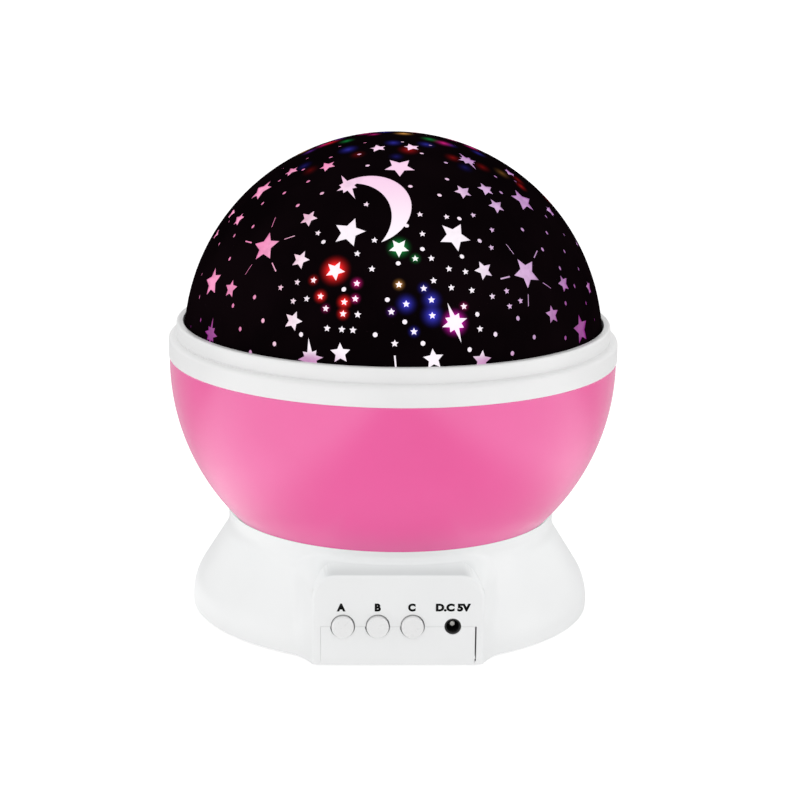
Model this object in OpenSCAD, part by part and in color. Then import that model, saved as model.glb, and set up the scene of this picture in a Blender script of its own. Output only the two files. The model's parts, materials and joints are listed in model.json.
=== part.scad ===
// Rotating star night light: a pierced dome on a turning bowl, driven from a flared base.
// The part stands on the plane z = 0 with its turning axis on Z, and the buttons face -Y.

/* [Base] */
// Radius of the flared base at its widest
skirt_r = 58.15; // [56:0.05:66]
// Radius of the rounded flank above the table
flank_r = 16.4; // [12:0.1:20]
// Height of the widest level above the base's lower edge
flank_rise = 1.7; // [0.5:0.1:4]
// Radius of the neck under the bowl
neck_r = 47.6; // [44:0.1:50]
// Radius of the hollow between flank and neck
waist_r = 8; // [5:0.5:12]
// Upright height of the neck above that hollow
neck_h = 3.1; // [1.5:0.1:5]
// Wall of the base housing
shell_t = 2.2; // [1.6:0.1:3]
// Height that the rubber feet lift the base
foot_proud = 0.8; // [0.4:0.1:2]
// Thickness of the bottom cover
cover_t = 1.6; // [1.2:0.1:2.4]
// Thickness of the deck that carries the drive
deck_t = 2; // [1.6:0.1:3]

/* [Control box] */
// Width of the control box
box_w = 47.5; // [44:0.1:54]
// Distance of its face in front of the base's widest radius
box_proud = 0.6; // [0.2:0.1:3]
// Drop of its roof below the rim of the neck
box_drop = 3.2; // [2:0.1:6]
// Radius of its two upper corners
box_corner = 6.8; // [3:0.1:9]
// Rounding of its outer edges
box_edge = 1.2; // [0.4:0.1:2]
// Height of the buttons and the jack above the housing's lower edge
button_h = 11; // [9:0.1:12]
// Distance of the first button from the face's left edge
button_inset = 8.6; // [7:0.05:10]
// Distance from button to button
button_pitch = 9.55; // [9:0.05:11]
// Radius of a button's cap
button_r = 3.05; // [2.4:0.05:3.6]
// Height of a button's cap in front of the face
button_proud = 1.4; // [1.3:0.1:2.5]
// Travel of a button
button_travel = 1.2; // [0.5:0.1:1.2]
// Distance of the power jack from the face's right edge
jack_inset = 8.75; // [7:0.05:10]
// Radius of the plug that the jack takes
plug_r = 1.75; // [1.5:0.05:2.2]
// Radius of the jack's centre pin
jack_pin_r = 0.65; // [0.5:0.05:0.9]

/* [Globe] */
// Outer radius of the bowl's sphere
bowl_r = 64.7; // [62:0.1:70]
// Wall of the bowl
bowl_t = 2.2; // [1.6:0.1:3]
// Radius of the bowl's flat floor
bowl_floor_r = 37.5; // [34:0.1:40]
// Rise of the bowl's edge above its sphere's centre
bowl_rise = 1.15; // [0:0.05:3]
// How far the white rim band stands out past the bowl
band_proud = 0.3; // [0.1:0.05:1]
// Height of the rim band
band_h = 6.05; // [4:0.05:9]
// Rounding of the rim band's upper edge
band_edge = 1.3; // [0.5:0.1:2]

/* [Dome cap] */
// Step from the rim band's edge in to the collar's
collar_step = 2.25; // [1:0.05:4]
// Width of the collar's rim round the dome
collar_lip = 2.15; // [1.5:0.05:4]
// Depth of the dome sphere's centre below the collar's foot
dome_sink = 2.3; // [1:0.1:4]
// Thickness of the clear dome
dome_t = 1.2; // [0.8:0.1:2]
// Thickness of the black star mask over it
mask_t = 0.25; // [0.15:0.05:0.5]
// Height of the collar above the rim band
collar_h = 4.3; // [3:0.1:7]
// Depth of the collar's spigot in the rim band
spigot_h = 4.9; // [3:0.1:5.5]
// Wall of the spigots
spigot_t = 1.8; // [1.2:0.1:2.4]

/* [Star windows] */
// Reach of a large star from its middle, in degrees of the dome
star_large = 4.45; // [3:0.05:5.2]
// Reach of a middle star, in degrees of the dome
star_middle = 2.75; // [2:0.05:3.2]
// Reach of a tiny star, in degrees of the dome
star_tiny = 1; // [0.6:0.05:1.4]
// Reach of a round dot, in degrees of the dome
dot_reach = 0.62; // [0.4:0.02:0.9]
// Reach of the moon's outer edge, in degrees of the dome
moon_reach = 11.7; // [8:0.1:12.5]
// Widest part of the moon's crescent, in degrees of the dome
moon_w = 5.8; // [3:0.1:7]
// Share of a star's reach that its notches have
star_notch = 0.48; // [0.35:0.01:0.6]
// Length of the rays round a ray star, in degrees of the dome
ray_l = 3.2; // [2:0.1:4]
// Width of a ray, in degrees of the dome
ray_w = 0.42; // [0.3:0.02:0.8]

/* [Drive] */
// Tooth module of the gear pair
tooth_module = 1; // [0.9:0.05:1.1]
// Teeth of the turntable gear
gear_teeth = 44; // [40:1:48]
// Teeth of the motor pinion
pinion_teeth = 16; // [14:1:18]
// Pressure angle of the teeth, in degrees
pressure_angle = 25; // [20:1:28]
// Thickness of the turntable gear
gear_t = 2.5; // [2:0.1:4]
// Play between meshing teeth, along the pitch circle
backlash = 0.2; // [0.1:0.01:0.3]
// Outer radius of the spindle that the globe turns on
spindle_r = 9.5; // [8.5:0.1:11]
// Length of the gear's sleeve above the bowl's floor line
sleeve_h = 11.7; // [8:0.1:16]
// Wall of the gear's sleeve
sleeve_t = 2.9; // [2:0.1:4]
// Thickness of the thrust washer under the gear
washer_t = 0.8; // [0.5:0.1:1.2]
// Radius of the motor's can
motor_r = 11; // [8:0.5:12]
// Height of the motor's can
motor_h = 12; // [8:0.5:12.5]
// Radius of the motor's shaft
shaft_r = 1.5; // [1:0.1:2]

/* [Lamp] */
// Radius of the hollow post that carries the lamp
post_r = 5.9; // [4.5:0.1:6.5]
// Bore of the post
post_bore_r = 3.6; // [2.5:0.1:4]
// Radius of the lamp board
lamp_board_r = 15; // [13:0.5:20]
// Drop of the lamp board's face below the dome sphere's centre
lamp_drop = 7; // [5:0.5:12]
// Radius of one light-emitting diode
led_r = 2.5; // [1.5:0.1:3]
// Distance of the coloured diodes from the axis
led_ring_r = 8; // [6.5:0.5:10]

/* [Batteries] */
// Radius of an AAA cell
cell_r = 5.25; // [5:0.05:5.3]
// Length of an AAA cell with its terminal
cell_l = 44.5; // [43.5:0.1:45]
// Number of cells side by side
cells = 4; // [2:2:4]
// Distance of the battery bay's middle behind the axis
bay_y = 17; // [16:0.5:18]
// Length of a contact spring
spring_l = 3; // [2:0.1:4]
// Wall of the battery bay
bay_t = 1.4; // [1:0.1:2]

/* [Fasteners] */
// Radius of the case screws
screw_r = 1.25; // [1:0.05:1.5]
// Radius of the small screws at motor and post
small_screw_r = 0.9; // [0.7:0.05:1]
// Radius of a rubber foot
foot_r = 5; // [3:0.1:6]

/* [Clearances] */
// Gap between bowl and neck, and other loose faces
loose_gap = 0.3; // [0.2:0.05:0.4]
// Gap at seated pieces
seat_gap = 0.1; // [0.05:0.05:0.2]
// Radial running play on the spindle and the motor shaft
running_gap = 0.06; // [0.03:0.01:0.1]

/* [Hidden] */
$fn = 96;

reach = 200;                       // longer than the whole part, for cutting solids
cut = 0.5;                         // how far a cutter runs past the face it opens

// Heights, from the table up
base_z = foot_proud;
cover_z = base_z + cover_t;
cell_z = cover_z + loose_gap + cell_r;
roof_z = cell_z + cell_r + 2 * seat_gap;
roof_t = 1;
wire_r = 0.45;
wires = 3;
wire_gap = 0.25;
deck_z = max(roof_z + roof_t + 2 * wire_r + loose_gap, cover_z + motor_h + loose_gap);
deck_top = deck_z + deck_t;
gear_z = deck_top + washer_t + seat_gap;
floor_z = gear_z + gear_t;
bowl_z = floor_z + sqrt(pow(bowl_r, 2) - pow(bowl_floor_r, 2));
band_z = bowl_z + bowl_rise;
collar_z = band_z + band_h;
collar_top = collar_z + collar_h;
dome_z = collar_z - dome_sink;
ledge_t = 1.4;
dome_foot = collar_z + ledge_t;
button_z = base_z + button_h;

// Globe
band_r = bowl_r + band_proud;
collar_r = band_r - collar_step;
dome_r = collar_r - collar_lip;

// Neck and flank: the neck's rim stands where its inner edge clears the bowl, and the straight
// stretch between the rounded flank and the hollow touches both
neck_flare = 0.3;
rim_flat = 0.25;
rim_r = neck_r + neck_flare;
seat_r = bowl_r + loose_gap;
rim_z = bowl_z - sqrt(pow(seat_r, 2) - pow(rim_r - rim_flat, 2));
flank_x = skirt_r - flank_r;
flank_z = base_z + flank_rise;
neck_side = neck_r - flank_x;
waist_z = rim_z - neck_h;
waist_most = (pow(neck_side, 2) + pow(waist_z - flank_z, 2) - pow(flank_r, 2)) / 2 / (flank_r - neck_side);
hollow_r = min(waist_r, 0.95 * waist_most);
waist_x = neck_r + hollow_r;
centres = [waist_x - flank_x, waist_z - flank_z];
flank_lean = atan2(centres.y, centres.x) - acos((flank_r + hollow_r) / norm(centres));

// Control box
box_y = -skirt_r - box_proud;
box_t = 2;
box_back = box_y + box_t;
box_room = 4;                      // free depth behind the control board
box_top = rim_z - box_drop;
button_x = [for (i = [0:2]) button_inset - box_w / 2 + i * button_pitch];
jack_x = box_w / 2 - jack_inset;
tab_w = box_w - 2 * box_t - 4 * loose_gap;
tab_slit = 0.7;
hole_play = 0.35;
jack_nose_t = 0.45;
jack_nose_r = plug_r + jack_nose_t;
jack_hole_r = jack_nose_r + seat_gap;
jack_nose_drop = 0.3;              // how far the nose's end lies behind the face
flange_lip = 1.1;
flange_r = button_r + flange_lip;
flange_t = 1.2;
flange_y = box_back + loose_gap;
stem_r = 1.5;
stem_seat = 1.2;
switch_w = 6;
switch_t = 5;
switch_y = flange_y + flange_t + button_travel + loose_gap;
board_t = 1.6;
board_y = switch_y + switch_t;
board_side = 1;
board_w = box_w - 2 * box_t - 2 * board_side;
jack_wall = 1.45;
jack_w = 2 * (plug_r + jack_wall);
jack_y = box_back + seat_gap;
jack_depth = board_y - jack_y;
rail_t = 1;
rail_h = 4;

// Battery bay, its door and the door's screw
bay_gap = 0.4;
plate_t = 0.4;
bay_w = cell_l + spring_l + 2 * plate_t + 2 * seat_gap;
bay_l = cells * 2 * cell_r + (cells + 1) * bay_gap;
bay_y0 = bay_y - bay_l / 2;
bay_y1 = bay_y + bay_l / 2;
tongue_w = 10;
tongue_l = 7.5;
tongue_root = 2;
door_screw_y = bay_y1 + 4;
door_boss_r = 3;
door_boss_h = 5;
door_screw_l = 3;                  // length of the door's screw above the door
door_slack = 0.55;
door_tab_x = 14;
door_tab_w = 6;
door_tab_t = 1;
door_tab_l = 1.5;
door_tab_root = 1.6;
door_tab_rise = 0.9;
door_y = bay_y0 + loose_gap;

// Fasteners and feet
function head_r(r) = 1.9 * r;
function head_t(r) = 1.3 * r;
case_screw_l = 9;
post_screw_l = 8;
screw_grip = 1;                    // how far a small screw runs past what it holds
boss_r = 3.3;
boss_cup_t = 0.6;
boss_margin = 3.2;
cup_h = 2;
foot_t = foot_proud + cover_t / 2;
foot_margin = 1.35;
foot_angle = 27;
pilot_gap = 0.05;

// Drive
centre_distance = tooth_module * (gear_teeth + pinion_teeth) / 2;
addendum = 0.9 * tooth_module;
dedendum = 1.2 * tooth_module;
root_rise = 0.1;
flank_steps = 3;
gear_r = tooth_module * gear_teeth / 2;
sleeve_bore_r = spindle_r + running_gap;
sleeve_r = sleeve_bore_r + sleeve_t;
sleeve_top = floor_z + sleeve_h;
spindle_top = sleeve_top + loose_gap;
spindle_bore_r = post_r + seat_gap;
hub_screw_r = (sleeve_r + gear_r) / 2 + 0.4 * tooth_module;
hub_screw_angles = [30, 150, 270];
pinion_t = gear_t - loose_gap;
motor_boss_r = 4;
motor_ear_x = motor_r + 3;
motor_ear_t = 1.2;
motor_ear_r = 2.6;
motor_top = deck_z;
shaft_seat = 4;
motor_shaft_foot = motor_top - shaft_seat;
washer_w = 5;

// Lamp
post_foot = deck_z + 1;
post_collar_r = sleeve_r - loose_gap;
post_collar_t = 2;
post_screw_x = (spindle_bore_r + spindle_r) / 2;
lamp_z = dome_z - lamp_drop;
lamp_board_t = 1.6;
post_flange_r = lamp_board_r - 1;
post_flange_t = 1.6;
post_top = lamp_z - lamp_board_t;
cup_t = 1.2;
lamp_cup_h = 3.5;
led_base_r = led_r + 0.4;
led_base_t = 1;
led_h = 5.6;
wire_pitch = 2 * wire_r + wire_gap;

// Rim band, collar and dome
band_bore_r = collar_r - 1.55;
spigot_r = bowl_r - bowl_t - 2 * seat_gap;
film_gap = 0.05;
window_t = 4;
diffuser_r = dome_r - mask_t - film_gap;

// A round arc as a list of points, with angles in degrees
function arc(x, y, r, from, to, steps) =
    [for (i = [0:steps]) let (a = from + (to - from) * i / steps) [x + r * cos(a), y + r * sin(a)]];

// The base's outer curve, or its inner one at depth t, from the table up to the neck
function flank_curve(t) = concat(
    arc(flank_x, flank_z, flank_r - t, asin((base_z - flank_z) / (flank_r - t)), flank_lean, 12),
    arc(waist_x, waist_z, hollow_r + t, 180 + flank_lean, 180, 6));

// Radius of that curve at a height on its rounded flank
function flank_radius(t, z) = flank_x + sqrt(pow(flank_r - t, 2) - pow(z - flank_z, 2));

cover_r = min(flank_radius(shell_t, base_z), flank_radius(shell_t, cover_z)) - loose_gap;

// Case screws beside the battery bay, and feet, all round the bottom cover's edge
boss_x = bay_w / 2 + bay_t + boss_cup_t + boss_r + loose_gap;
boss_y = sqrt(pow(cover_r - boss_margin - boss_cup_t - boss_r, 2) - pow(boss_x, 2));
boss_places = [for (x = [-boss_x, boss_x], y = [-boss_y, boss_y]) [x, y]];
foot_ring_r = cover_r - foot_margin - foot_r;
foot_places = [for (x = [-1, 1], y = [-1, 1]) foot_ring_r * [x * cos(foot_angle), y * sin(foot_angle)]];

// The solid inside the base's curve at depth t, between two heights
module skirt_solid(t, z0, z1) {
    intersection() {
        rotate_extrude()
            polygon(concat([[0, base_z]], flank_curve(t), [[rim_r - t, rim_z], [0, rim_z]]));
        translate([0, 0, z0]) cylinder(r = reach, h = z1 - z0);
    }
}

// The control box's block, with each outer face moved in by inset
module box_solid(inset, z0, z1, back) {
    w = box_w / 2 - inset;
    top = box_top - inset;
    front = box_y + inset;
    corner = box_corner - inset;
    edge = max(box_edge - inset, 0.1);
    intersection() {
        translate([0, back, 0]) rotate([90, 0, 0]) linear_extrude(back - front)
            polygon(concat([[-w, z0], [w, z0]],
                arc(w - corner, top - corner, corner, 0, 90, 8),
                arc(corner - w, top - corner, corner, 90, 180, 8)));
        translate([0, 0, z0]) linear_extrude(z1 - z0)
            polygon(concat([[w, back], [-w, back]],
                arc(edge - w, front + edge, edge, 180, 270, 4),
                arc(w - edge, front + edge, edge, 270, 360, 4)));
        translate([-reach / 2, 0, 0]) rotate([90, 0, 90]) linear_extrude(reach)
            polygon(concat([[front, z0], [back, z0], [back, top]],
                arc(front + edge, top - edge, edge, 90, 180, 4)));
    }
}

// Puts children on the face, looking into the box, at a place across it
module on_face(x) {
    translate([x, box_y, button_z]) rotate([-90, 0, 0]) children();
}

module base_housing() {
    color("white") difference() {
        union() {
            difference() {
                union() {
                    skirt_solid(0, base_z, rim_z);
                    box_solid(0, base_z, box_top, -neck_r + shell_t);
                }
                skirt_solid(shell_t, base_z - cut, deck_z);
                skirt_solid(shell_t, deck_top, rim_z + cut);
                // Seat that follows the bowl, above the deck
                intersection() {
                    translate([0, 0, bowl_z]) sphere(seat_r);
                    translate([0, 0, deck_top]) cylinder(r = reach, h = reach);
                }
                box_solid(box_t, base_z - cut, deck_z, board_y + board_t + box_room);
                difference() {
                    box_solid(box_t, base_z, box_top, -neck_r + shell_t);
                    skirt_solid(0, base_z, rim_z);
                }
            }
            translate([0, 0, deck_z]) cylinder(r = spindle_r, h = spindle_top - deck_z);
            for (p = boss_places) translate([p.x, p.y, cover_z + cup_h + seat_gap])
                cylinder(r = boss_r, h = deck_z - cover_z - cup_h + seat_gap);
        }
        // Spindle bore, with two pilot holes in its end
        translate([0, 0, deck_z - cut]) cylinder(r = spindle_bore_r, h = spindle_top);
        for (s = [-1, 1]) translate([s * post_screw_x, 0, spindle_top + post_collar_t - post_screw_l - cut])
            cylinder(r = small_screw_r + pilot_gap, h = post_screw_l);
        // Case screw pilots
        for (p = boss_places) translate([p.x, p.y, base_z])
            cylinder(r = screw_r + pilot_gap, h = head_t(screw_r) + case_screw_l + 2 * cut);
        // Motor boss and its two screws
        translate([0, -centre_distance, deck_z - cut])
            cylinder(r = motor_boss_r + loose_gap, h = deck_t + 2 * cut);
        for (s = [-1, 1]) translate([s * motor_ear_x, -centre_distance, deck_z - cut])
            cylinder(r = small_screw_r + pilot_gap, h = deck_t + 2 * cut);
        // Opening for the bottom cover's front tab, wider at its right end
        translate([-tab_w / 2 - seat_gap, box_y - cut, base_z - cut])
            cube([tab_w + tab_slit + seat_gap, box_t + 2 * cut, button_h + seat_gap + cut]);
        for (x = button_x) on_face(x) translate([0, 0, -cut])
            cylinder(r = button_r + hole_play, h = box_t + 2 * cut);
        on_face(jack_x) translate([0, 0, -cut]) cylinder(r = jack_hole_r, h = box_t + 2 * cut);
    }
}

// The battery bay's inside, from below the cover up to its roof
module bay_space(inset, z0, z1) {
    translate([-bay_w / 2 + inset, bay_y0 + inset, z0])
        cube([bay_w - 2 * inset, bay_l - 2 * inset, z1 - z0]);
}

// The door's outline with its screw tongue, moved in by inset
module door_plate(inset, z0, z1) {
    bay_space(inset, z0, z1);
    translate([-tongue_w / 2 + inset, bay_y1 - tongue_root, z0])
        cube([tongue_w - 2 * inset, tongue_l + tongue_root - inset, z1 - z0]);
}

module bottom_cover() {
    color("white") difference() {
        union() {
            translate([0, 0, base_z]) cylinder(r = cover_r, h = cover_t);
            translate([-tab_w / 2, box_y, base_z]) cube([tab_w, -box_y - neck_r, cover_t]);
            translate([-tab_w / 2, box_y, base_z]) cube([tab_w, box_t, button_h - seat_gap]);
            translate([0, 0, base_z]) bay_space(-bay_t, 0, roof_z + roof_t - base_z);
            translate([0, door_screw_y, cover_z - cut]) cylinder(r = door_boss_r, h = door_boss_h + cut);
            for (p = boss_places) translate([p.x, p.y, base_z])
                cylinder(r = boss_r + boss_cup_t, h = cover_t + cup_h);
            // Rails that stand the control board up
            for (y = [board_y - rail_t - loose_gap, board_y + board_t + loose_gap])
                translate([-board_w / 2, y, cover_z - cut]) cube([board_w, rail_t, rail_h + cut]);
        }
        bay_space(0, base_z - cut, roof_z);
        door_plate(0, base_z - cut, cover_z);
        translate([0, door_screw_y, base_z])
            cylinder(r = screw_r + door_slack, h = cover_t + door_screw_l + 2 * cut);
        for (s = [-1, 1])
            translate([s * door_tab_x - door_tab_w / 2 - loose_gap, bay_y0 - bay_t - cut, cover_z])
                cube([door_tab_w + 2 * loose_gap, bay_t + 2 * cut, door_tab_t + door_tab_rise]);
        for (p = boss_places) translate([p.x, p.y, base_z - cut]) {
            cylinder(r = screw_r + loose_gap, h = cover_t + cup_h + 2 * cut);
            cylinder(r = head_r(screw_r) + loose_gap, h = head_t(screw_r) + seat_gap + cut);
        }
        for (p = foot_places) translate([p.x, p.y, base_z - cut])
            cylinder(r = foot_r + seat_gap, h = foot_t - foot_proud + cut);
        for (x = button_x) on_face(x) translate([0, 0, -cut])
            cylinder(r = button_r + hole_play, h = box_t + 2 * cut);
        on_face(jack_x) translate([0, 0, -cut]) cylinder(r = jack_hole_r, h = box_t + 2 * cut);
    }
}

module rubber_feet() {
    edge = 0.4;
    color("dimgray") for (p = foot_places) translate([p.x, p.y, 0]) rotate_extrude()
        polygon([[0, 0], [foot_r - edge, 0], [foot_r, edge], [foot_r, foot_t], [0, foot_t]]);
}

// A pan-head screw that points up, with its head's underside at the origin
module screw(r, length) {
    wide = head_r(r);
    thick = head_t(r);
    slot_w = 0.3 * r;
    slot_l = 1.6 * wide;
    difference() {
        rotate_extrude() polygon([
            [0, -thick], [wide - 0.4 * r, -thick], [wide, -0.7 * thick], [wide, 0],
            [r, 0], [r, length - r], [0.3 * r, length], [0, length]]);
        for (turn = [0, 90]) rotate(turn) translate([-slot_l / 2, -slot_w / 2, -thick - cut])
            cube([slot_l, slot_w, cut + thick / 2]);
    }
}

module housing_screws() {
    color("silver") for (p = boss_places)
        translate([p.x, p.y, base_z + head_t(screw_r) + seat_gap]) screw(screw_r, case_screw_l);
}

module control_board() {
    color("darkgreen") translate([-board_w / 2, board_y, cover_z + seat_gap])
        cube([board_w, board_t, deck_z - loose_gap - cover_z - seat_gap]);
}

module push_switches() {
    color("gray") for (x = button_x) difference() {
        translate([x - switch_w / 2, switch_y, button_z - switch_w / 2])
            cube([switch_w, switch_t, switch_w]);
        translate([x, switch_y - cut, button_z]) rotate([-90, 0, 0])
            cylinder(r = stem_r + seat_gap, h = cut + stem_seat + button_travel + loose_gap);
    }
}

// The inlet's block on the board, with a round nose that fills the hole in the face
module dc_jack() {
    floor_t = 1;
    pin_drop = 0.5;
    nose_l = jack_y - box_y - jack_nose_drop;
    color("black") difference() {
        union() {
            translate([jack_x - jack_w / 2, jack_y, button_z - jack_w / 2])
                cube([jack_w, jack_depth, jack_w]);
            on_face(jack_x) translate([0, 0, jack_nose_drop]) cylinder(r = jack_nose_r, h = nose_l + cut);
        }
        translate([jack_x, jack_y, button_z]) rotate([-90, 0, 0]) difference() {
            translate([0, 0, -nose_l - cut])
                cylinder(r = plug_r + pilot_gap, h = nose_l + jack_depth - floor_t + cut);
            translate([0, 0, pin_drop]) cylinder(r = jack_pin_r, h = jack_depth);
        }
    }
}

// A button's cap, its flange behind the face and its stem in the switch, turned about one axis
module button(x) {
    edge = 0.35;
    flange_z = flange_y - box_y;
    stem_top = switch_y - box_y + stem_seat;
    color("white") on_face(x) rotate_extrude() polygon(concat(
        [[0, stem_top], [0, -button_proud]],
        arc(button_r - edge, edge - button_proud, edge, -90, 0, 3),
        [[button_r, flange_z], [flange_r, flange_z], [flange_r, flange_z + flange_t],
         [stem_r, flange_z + flange_t], [stem_r, stem_top]]));
}
module button_a() { button(button_x[0]); }
module button_b() { button(button_x[1]); }
module button_c() { button(button_x[2]); }

module gear_motor() {
    color("silver") difference() {
        union() {
            translate([0, -centre_distance, motor_top - motor_h]) cylinder(r = motor_r, h = motor_h);
            translate([0, -centre_distance, motor_top]) cylinder(r = motor_boss_r, h = deck_t);
            translate([-motor_ear_x, -centre_distance - motor_ear_r, motor_top - motor_ear_t])
                cube([2 * motor_ear_x, 2 * motor_ear_r, motor_ear_t]);
            for (s = [-1, 1]) translate([s * motor_ear_x, -centre_distance, motor_top - motor_ear_t])
                cylinder(r = motor_ear_r, h = motor_ear_t);
        }
        translate([0, -centre_distance, motor_shaft_foot - seat_gap])
            cylinder(r = shaft_r + running_gap, h = reach);
        for (s = [-1, 1]) translate([s * motor_ear_x, -centre_distance, motor_top - motor_ear_t - cut])
            cylinder(r = small_screw_r + pilot_gap, h = motor_ear_t + 2 * cut);
    }
}

module motor_screws() {
    color("silver") for (s = [-1, 1]) translate([s * motor_ear_x, -centre_distance, deck_top])
        mirror([0, 0, 1]) screw(small_screw_r, deck_t + motor_ear_t + screw_grip);
}

module motor_shaft() {
    color("silver") translate([0, -centre_distance, motor_shaft_foot])
        cylinder(r = shaft_r, h = gear_z + pinion_t - motor_shaft_foot);
}

// Points of a spur gear with involute flanks
function involute(a) = tan(a) * 180 / PI - a;
function tooth_half(teeth, r) =
    let (pitch = tooth_module * teeth / 2, base = pitch * cos(pressure_angle))
    90 / teeth + involute(pressure_angle) - involute(acos(min(1, base / r)))
        - backlash / 4 / pitch * 180 / PI;
function gear_points(teeth) =
    let (pitch = tooth_module * teeth / 2,
        root = pitch - dedendum,
        start = max(root + root_rise, pitch * cos(pressure_angle)),
        tip = pitch + addendum,
        radii = concat([root], [for (i = [0:flank_steps]) start + (tip - start) * i / flank_steps]))
    [for (k = [0:teeth - 1]) each concat(
        [for (r = radii) let (a = 360 * k / teeth - tooth_half(teeth, r)) r * [cos(a), sin(a)]],
        [for (i = [len(radii) - 1:-1:0]) let (r = radii[i], a = 360 * k / teeth + tooth_half(teeth, r))
            r * [cos(a), sin(a)]])];

module turntable_gear() {
    color("white") difference() {
        union() {
            translate([0, 0, gear_z]) rotate(-90) linear_extrude(gear_t) polygon(gear_points(gear_teeth));
            translate([0, 0, gear_z]) cylinder(r = sleeve_r, h = sleeve_top - gear_z);
        }
        translate([0, 0, gear_z - cut]) cylinder(r = sleeve_bore_r, h = reach);
        for (a = hub_screw_angles) rotate(a) translate([hub_screw_r, 0, gear_z - cut])
            cylinder(r = screw_r + pilot_gap, h = gear_t + 2 * cut);
    }
}

module motor_pinion() {
    color("ivory") translate([0, -centre_distance, gear_z]) difference() {
        rotate(90 + 180 / pinion_teeth) linear_extrude(pinion_t) polygon(gear_points(pinion_teeth));
        translate([0, 0, -cut]) cylinder(r = shaft_r + pilot_gap, h = pinion_t + 2 * cut);
    }
}

module thrust_washer() {
    color("gainsboro") translate([0, 0, deck_top]) difference() {
        cylinder(r = spindle_r + washer_w, h = washer_t);
        translate([0, 0, -cut]) cylinder(r = spindle_r + seat_gap, h = washer_t + 2 * cut);
    }
}

module hub_screws() {
    length = bowl_t + gear_t - loose_gap;
    color("silver") for (a = hub_screw_angles) rotate(a)
        translate([hub_screw_r, 0, floor_z + bowl_t]) mirror([0, 0, 1]) screw(screw_r, length);
}

module bowl() {
    color("hotpink") difference() {
        intersection() {
            translate([0, 0, bowl_z]) sphere(bowl_r, $fn = 180);
            translate([0, 0, floor_z]) cylinder(r = reach, h = band_z - floor_z);
        }
        intersection() {
            translate([0, 0, bowl_z]) sphere(bowl_r - bowl_t, $fn = 180);
            translate([0, 0, floor_z + bowl_t]) cylinder(r = reach, h = reach);
        }
        translate([0, 0, floor_z - cut]) cylinder(r = sleeve_r + loose_gap, h = bowl_t + 2 * cut);
        for (a = hub_screw_angles) rotate(a) translate([hub_screw_r, 0, floor_z - cut])
            cylinder(r = screw_r + loose_gap, h = bowl_t + 2 * cut);
    }
}

module rim_band() {
    groove = 0.4;
    color("white") rotate_extrude() polygon(concat(
        [[band_bore_r, band_z], [spigot_r - spigot_t, band_z],
         [spigot_r - spigot_t, band_z - spigot_h], [spigot_r, band_z - spigot_h],
         [spigot_r, band_z], [band_r - groove, band_z], [band_r, band_z + groove]],
        arc(band_r - band_edge, collar_z - band_edge, band_edge, 0, 90, 6),
        [[band_bore_r, collar_z]]));
}

module collar_ring() {
    spigot_out = band_bore_r - seat_gap;
    spigot_in = spigot_out - spigot_t;
    lip_r = dome_r + seat_gap;
    edge = 0.6;
    color("white") rotate_extrude() polygon(concat(
        [[spigot_in, collar_z - spigot_h], [spigot_out, collar_z - spigot_h], [spigot_out, collar_z],
         [collar_r, collar_z]],
        arc(collar_r - edge, collar_top - edge, edge, 0, 90, 4),
        [[lip_r, collar_top], [lip_r, dome_foot], [spigot_in, dome_foot]]));
}

// A spherical shell of the dome, standing on the collar's ledge
module dome_shell(outer, inner) {
    difference() {
        translate([0, 0, dome_z]) sphere(outer, $fn = 180);
        translate([0, 0, dome_z]) sphere(inner, $fn = 180);
        translate([0, 0, dome_foot - reach]) cylinder(r = reach, h = reach);
    }
}

module diffuser_dome() {
    color("lavenderblush") dome_shell(diffuser_r, diffuser_r - dome_t);
}

// Puts children on the dome, facing out. East is to the right of the face, up is towards the top
module on_dome(east, up, turn = 0) {
    translate([0, 0, dome_z]) rotate([90 - up, 0, east]) translate([0, 0, dome_r - window_t / 2])
        rotate(turn) children();
}

// Length on the dome of a reach in degrees
function span(degrees) = dome_r * degrees * PI / 180;

// A five-pointed star, with its first point up
module star(reach) {
    polygon([for (i = [0:9]) let (a = 90 + 36 * i, q = span(reach) * (i % 2 == 0 ? 1 : star_notch))
        q * [cos(a), sin(a)]]);
}

// Cuts straight through the mask
module window() {
    linear_extrude(window_t) children();
}

// Star windows of half the dome: degrees east of the middle, degrees up, turn
large_stars = [
    [-18, 41, -9], [18, 40, 36], [-66, 21, 20], [-74, 49, 15], [59, 48, -18], [0, 65, 35], [59, 10, 4]];
ray_stars = [[-47, 34, 14], [40, 28, 20], [-1, 0, 6]];
middle_stars = [
    [-35, 44, -10], [-32, 32, -12], [-20, 30, -20], [-1, 37, 36], [25, 30, 15], [-30, 16, -15], [-16, 9, 5],
    [8, 8, 5], [21, 7, -8], [-55, 21, 5], [46, 16, 0], [55, 23, 8], [72, 19, 0], [83, 30, 12],
    [29, 54, 10], [42, 54, -6], [41, 48, 6], [75, 42, 0], [76, 57, 20], [15, 76, 0], [-21, 75, 30],
    [-46, 63, -8], [-68, 58, 0], [-71, 39, 12], [-83, 39, 0], [-84, 32, -10]];
burst_stars = [[14, 17, 16], [-24, 7, 10], [-60, 8, 0], [52, 66, -20], [-25, 56, 40]];
tiny_stars = [
    [-26, 27], [-23, 23], [-21, 20], [-16, 22], [-13, 27], [-13, 23], [-16, 19], [-12, 19], [-27, 22],
    [-1, 27], [1, 22], [6, 26], [8, 23], [8, 19], [3, 15], [9, 28], [-3, 20], [17, 21], [-2, 12],
    [-14, 50], [-9, 39], [-14, 35], [-9, 31], [-29, 40], [4, 34], [9, 34], [14, 31], [19, 30],
    [7, 41], [7, 47], [17, 46], [28, 46], [33, 41], [30, 36], [14, 26], [20, 25], [26, 23], [31, 24],
    [31, 20], [35, 21], [21, 15], [-20, 15], [-16, 15], [-13, 15], [-31, 26], [-36, 24], [-31, 21]];
moon_place = [-14, 49];
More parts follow.
